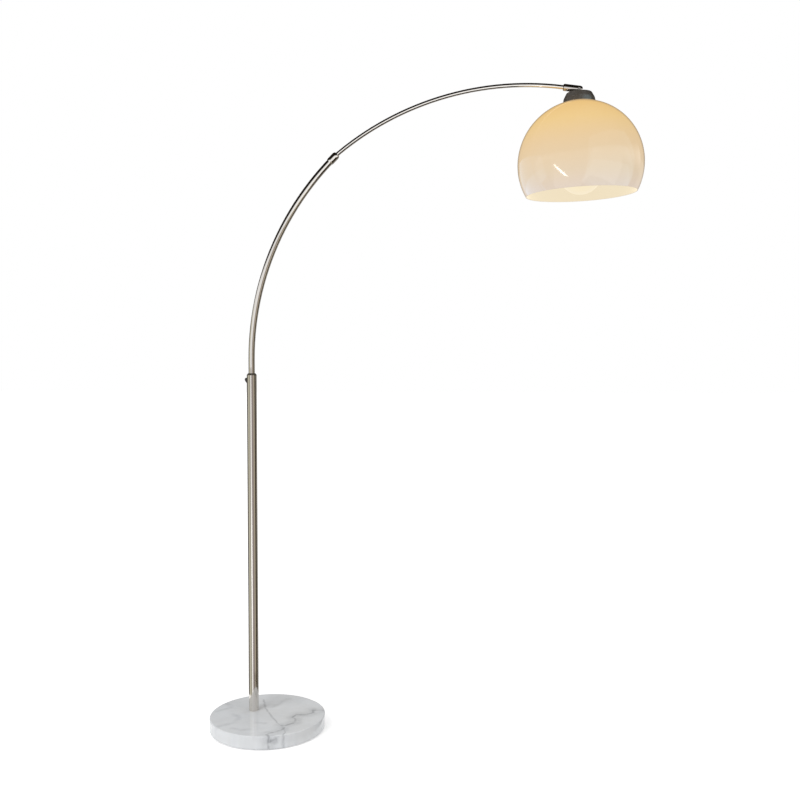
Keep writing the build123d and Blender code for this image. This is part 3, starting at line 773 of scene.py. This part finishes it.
class LAMP_OT_bulb(bpy.types.Operator):
    """Make the lit bulb and dress its cap and the lampholder"""
    bl_idname = "lamp.bulb"
    bl_label = "Lampholder and bulb"

    def execute(self, context):
        finish, shapes = context.scene.lamp_finish, context.scene.lamp_shapes
        radius, turn, middle = shapes.globe_radius, shapes.globe_shoulder, -shapes.globe_drop
        arc = arc_points(radius, -pi / 2, pi / 2 - turn, shapes.globe_steps)
        ball = [(r, middle + z) for r, z in arc]
        ball[0] = (0, ball[0][1])
        join, neck = Vector(ball[-1]), Vector((shapes.neck_radius, shapes.neck_level))
        pull = (neck - join).length / 3
        along = Vector((-cos(turn), sin(turn)))
        bend = (join, join + pull * along, neck - Vector((0, pull)), neck)
        shoulder = curve(bend, shapes.neck_steps)
        outline = [(*point, 0) for point in ball + shoulder[1:] + [(0, shapes.neck_level)]]
        globe = lathe("lit_globe", outline, shapes.round_steps, head_frame(shapes), closed=False)
        globe.data.materials.append(lit_glass(finish, middle - radius, shapes.neck_level))
        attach(globe, "head")
        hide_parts("bulb_globe")
        dress(brushed_metal("bulb_brass", finish.brass, finish.brass_roughness, BRASS_LINES, PIVOT),
              "bulb_cap")
        dress(moulded("holder_plastic"), "holder_cup", "holder_skirt")
        dress(moulded("holder_ceramic"), "holder_contact")
        return {"FINISHED"}


def emitter(name, stops):
    """Plain glowing material for the studio; the stops give its colour by height."""
    material = bpy.data.materials.new(name)
    material.use_nodes = True
    tree = material.node_tree
    tree.nodes.clear()
    glow = add(tree, "ShaderNodeEmission", {"Color": by_height(tree, object_point(tree), stops)})
    tree.links.new(glow.outputs[0], add(tree, "ShaderNodeOutputMaterial").inputs[0])
    return material


def stage_mesh(name, corners, faces, material, reflected_only):
    """Mesh of the studio, which may show in reflections only."""
    data = bpy.data.meshes.new(name)
    data.from_pydata(corners, [], faces)
    data.materials.append(material)
    card = bpy.data.objects.new(name, data)
    bpy.context.scene.collection.objects.link(card)
    if reflected_only:
        card.visible_camera = card.visible_diffuse = False
        card.visible_transmission = card.visible_shadow = False


# Reflector cards round the pole: name, distance from the pole, first and last bearing from the camera's side
# (right is positive) and colour by height, in metres; one that starts at the floor covers the floor too
FAR_LEFT, LEFT, LEFT_SHADE = (0.12, 0.11, 0.10), (0.62, 0.60, 0.49), (0.44, 0.42, 0.35)
MIDDLE, RIGHT_LIGHT, RIGHT_DARK = (0.36, 0.31, 0.30), (0.48, 0.43, 0.34), (0.05, 0.038, 0.025)
FAR_RIGHT, BACK, CEILING = (0.30, 0.28, 0.25), (0.05, 0.042, 0.035), (0.014, 0.011, 0.008)
CARDS = (
    ("card_far_left", 3.4, -180, -105, ((0.0, FAR_LEFT), (2.1, FAR_LEFT))),
    ("card_left", 3.4, -105, -62, ((0.0, LEFT), (1.6, LEFT), (2.1, WHITE))),
    ("card_left_shade", 0.5, -62, -36, ((0.0, LEFT_SHADE), (1.1, LEFT_SHADE))),
    ("card_middle", 0.5, -10, 5, ((0.0, MIDDLE), (1.1, MIDDLE))),
    ("card_middle_high", 0.5, 5, 30, ((0.0, MIDDLE), (1.45, MIDDLE))),
    ("card_right_light", 0.5, 30, 62, ((0.0, RIGHT_LIGHT), (1.45, RIGHT_LIGHT))),
    ("card_right_dark", 3.4, 62, 100, ((0.0, RIGHT_DARK), (1.6, RIGHT_DARK), (2.1, WHITE))),
    ("card_right_floor", 3.4, 14, 62, ((0.0, RIGHT_DARK), (0.01, RIGHT_DARK))),
    ("card_far_right", 3.4, 100, 180, ((0.0, FAR_RIGHT), (2.1, FAR_RIGHT))),
    ("card_back", 3.4, 100, 260, ((2.1, BACK), (3.8, BACK))),
    ("card_front", 3.4, -100, 100, ((2.1, WHITE), (2.3, WHITE), (2.7, CEILING), (3.8, CEILING))),
)

# Lights that the shade and the cap alone reflect: name, outline, bearing and rise at both ends and width, in
# degrees, radiance and colour
COOL, BLUE = (0.50, 0.82, 1.0), (0.35, 0.65, 1.0)
STRIPS = (
    ("streak", "ELLIPSE", (-47, -6), (-25, -29.5), 3.2, 30.0, WHITE),
    ("right_low", "RECTANGLE", (12, -24), (110, -24), 50.0, 0.9, COOL),
    ("right_middle", "RECTANGLE", (12, -14), (110, -14), 70.0, 0.8, COOL),
    ("right_high", "RECTANGLE", (12, -4), (110, -4), 90.0, 0.8, COOL),
    ("left_low", "RECTANGLE", (-64, -28), (-150, -28), 46.0, 0.9, BLUE),
    ("left_high", "RECTANGLE", (-64, -18), (-150, -18), 66.0, 0.9, BLUE),
)

# Soft lights: name, place, width in metres and the setting that holds the power
SOFT_LIGHTS = (
    ("key_light", (-1.6, -2.6, 3.2), 2.4, "key_power"),
    ("fill_light", (3.2, -2.2, 2.0), 2.2, "fill_power"),
)
CARD_STEPS, CEILING_STEPS = 12, 36


def bearing_point(context, bearing, level, distance):
    """Point round the pole, by bearing from the camera's side of it."""
    studio = context.scene.lamp_studio
    toward = Vector(studio.camera_place[:2]).normalized()
    turned = Matrix.Rotation(radians(bearing), 2) @ toward
    return (*(turned * distance), level)


def shade_point(context, bearing, rise):
    """Point seen from the shade's middle, by bearing from the camera's side and rise above level."""
    studio = context.scene.lamp_studio
    middle = head_frame(context.scene.lamp_shapes).translation
    toward = (Vector(studio.camera_place) - middle).xy.normalized()
    turned = Matrix.Rotation(radians(bearing), 2) @ toward
    return middle + studio.strip_distance * Vector((*(turned * cos(radians(rise))), sin(radians(rise))))


class LAMP_OT_studio(bpy.types.Operator):
    """Make the floor, the light, the reflector cards and the camera"""
    bl_idname = "lamp.studio"
    bl_label = "Studio"

    def execute(self, context):
        scene, studio = context.scene, context.scene.lamp_studio
        scene.view_settings.view_transform = "Standard"
        self.make_floor(studio)
        self.make_sky(scene, studio)
        self.make_lights(scene, studio)
        for card in CARDS:
            self.make_card(context, studio, *card)
        receivers = bpy.data.collections.new("strip_receivers")
        for name in ("opal_shade", "spun_cap"):
            receivers.objects.link(bpy.data.objects[name])
        for strip in STRIPS:
            self.make_strip(context, receivers, *strip)
        self.make_ceiling(context)
        self.make_camera(scene, studio)
        return {"FINISHED"}

    def make_card(self, context, studio, name, reach, first, last, stops):
        """Part of the ring of cards, with its sector of the floor if it stands there."""
        rows = [(level, reach) for level, _ in stops]
        if rows[0][0] == 0.0:
            rows[0] = (studio.carpet_height, reach)
            rows.insert(0, (studio.carpet_height, studio.carpet_hole))
        bearings = [first + (last - first) * i / CARD_STEPS for i in range(CARD_STEPS + 1)]
        corners = [bearing_point(context, b, level, distance) for b in bearings for level, distance in rows]
        count = len(rows)
        faces = [(count * i + k, count * (i + 1) + k, count * (i + 1) + k + 1, count * i + k + 1)
                 for i in range(CARD_STEPS) for k in range(count - 1)]
        stage_mesh(name, corners, faces, emitter(name, stops), True)

    def make_ceiling(self, context):
        """Card that closes the ring of cards at its top."""
        _, reach, *_, stops = CARDS[-1]
        bearings = [360 * i / CEILING_STEPS for i in range(CEILING_STEPS)]
        rim = [bearing_point(context, b, stops[-1][0], reach) for b in bearings]
        stage_mesh("card_ceiling", rim, [range(CEILING_STEPS)], emitter("card_ceiling", stops[-2:]), True)

    def make_strip(self, context, receivers, name, shape, start, end, width, radiance, rgb):
        """Light between two directions from the shade, for its receivers alone."""
        distance = context.scene.lamp_studio.strip_distance
        centre = head_frame(context.scene.lamp_shapes).translation
        first, last = (shade_point(context, *ends) for ends in (start, end))
        middle = (first + last) / 2
        outward = (middle - centre).normalized()
        across = outward.cross(last - first).normalized()
        data = bpy.data.lights.new(name, "AREA")
        data.shape = shape
        data.color = rgb
        data.size, data.size_y = (last - first).length, distance * radians(width)
        fill = pi / 4 if shape == "ELLIPSE" else 1
        data.energy = radiance * pi * fill * data.size * data.size_y
        light = bpy.data.objects.new(name, data)
        turn = Matrix((across.cross(outward), across, outward)).transposed()
        light.matrix_world = Matrix.Translation(middle) @ turn.to_4x4()
        light.visible_camera = light.visible_diffuse = light.visible_transmission = False
        light.light_linking.receiver_collection = receivers
        context.scene.collection.objects.link(light)

    def make_floor(self, studio):
        """Pale floor that fades into the white background and keeps the shadow."""
        half = studio.floor_half
        material, tree, shader = new_material("floor", Base_Color=opaque(studio.floor_colour), Roughness=0.9,
                                              Specular_IOR_Level=0.0, Emission_Color=opaque(WHITE))
        away = vector(tree, "LENGTH", object_point(tree))
        seen, _ = seen_rays(tree)
        glow = calc(tree, "MULTIPLY", seen, fade(tree, away, 0.4, 1.6, 0.46, 0.68))
        tree.links.new(glow, shader["Emission Strength"])
        corners = [(-half, -half, 0), (half, -half, 0), (half, half, 0), (-half, half, 0)]
        stage_mesh("floor", corners, [(0, 1, 2, 3)], material, False)

    def make_sky(self, scene, studio):
        """White background for the camera and for reflections, softer even light for the rest."""
        world = bpy.data.worlds.new("studio_sky")
        world.use_nodes = True
        scene.world = world
        tree = world.node_tree
        tree.nodes.clear()
        seen, rays = seen_rays(tree)
        seen = calc(tree, "MAXIMUM", seen, rays["Is Transmission Ray"])
        even = add(tree, "ShaderNodeBackground", {"Color": opaque(WHITE), "Strength": studio.sky_strength})
        white = add(tree, "ShaderNodeBackground", {"Color": opaque(WHITE), "Strength": 1.0})
        mixed = add(tree, "ShaderNodeMixShader", {0: seen, 1: even.outputs[0], 2: white.outputs[0]})
        tree.links.new(mixed.outputs[0], add(tree, "ShaderNodeOutputWorld").inputs[0])

    def make_lights(self, scene, studio):
        """Two large soft lights."""
        target = Vector(studio.light_target)
        for name, place, size, power in SOFT_LIGHTS:
            data = bpy.data.lights.new(name, "AREA")
            data.shape = "SQUARE"
            data.size = size
            data.energy = getattr(studio, power)
            light = bpy.data.objects.new(name, data)
            light.location = place
            light.rotation_euler = (target - Vector(place)).to_track_quat("-Z", "Y").to_euler()
            light.visible_camera = light.visible_glossy = False
            scene.collection.objects.link(light)

    def make_camera(self, scene, studio):
        """Camera at the photograph's place."""
        data = bpy.data.cameras.new("camera")
        data.sensor_width = studio.camera_sensor
        data.lens = studio.camera_lens
        camera = bpy.data.objects.new("camera", data)
        camera.location = studio.camera_place
        camera.rotation_euler = Vector(studio.camera_aim).to_track_quat("-Z", "Y").to_euler()
        scene.collection.objects.link(camera)
        scene.camera = camera


class LAMP_PT_panel(bpy.types.Panel):
    """Lists the lamp's steps and settings"""
    bl_label = "Arc floor lamp"
    bl_idname = "LAMP_PT_panel"
    bl_space_type = "VIEW_3D"
    bl_region_type = "UI"
    bl_category = "Arc lamp"

    def draw(self, context):
        for step in STEPS:
            self.layout.operator(step.bl_idname)
        for settings in (context.scene.lamp_finish, context.scene.lamp_shapes, context.scene.lamp_studio):
            box = self.layout.box()
            for name in settings.__annotations__:
                box.prop(settings, name)


STEPS = (LAMP_OT_foot, LAMP_OT_pole, LAMP_OT_screw, LAMP_OT_arc, LAMP_OT_knuckle, LAMP_OT_cap,
         LAMP_OT_shade, LAMP_OT_bulb, LAMP_OT_studio)
CLASSES = (LampFinish, LampShapes, LampStudio, *STEPS, LAMP_PT_panel)


def register():
    """Registers the classes and their settings."""
    for made in CLASSES:
        bpy.utils.register_class(made)
    bpy.types.Scene.lamp_finish = PointerProperty(type=LampFinish)
    bpy.types.Scene.lamp_shapes = PointerProperty(type=LampShapes)
    bpy.types.Scene.lamp_studio = PointerProperty(type=LampStudio)


def unregister():
    """Takes the settings and classes away again."""
    del bpy.types.Scene.lamp_studio
    del bpy.types.Scene.lamp_shapes
    del bpy.types.Scene.lamp_finish
    for made in reversed(CLASSES):
        bpy.utils.unregister_class(made)


def main():
    """Dresses the lamp step by step."""
    register()
    for make in (make_vein_group, make_mottle_group, make_brush_group, make_turned_group):
        make()
    lamp = bpy.ops.lamp
    for step in (lamp.foot, lamp.pole, lamp.screw, lamp.arc, lamp.knuckle, lamp.cap, lamp.shade, lamp.bulb,
                 lamp.studio):
        step()


if __name__ == "__main__":
    main()
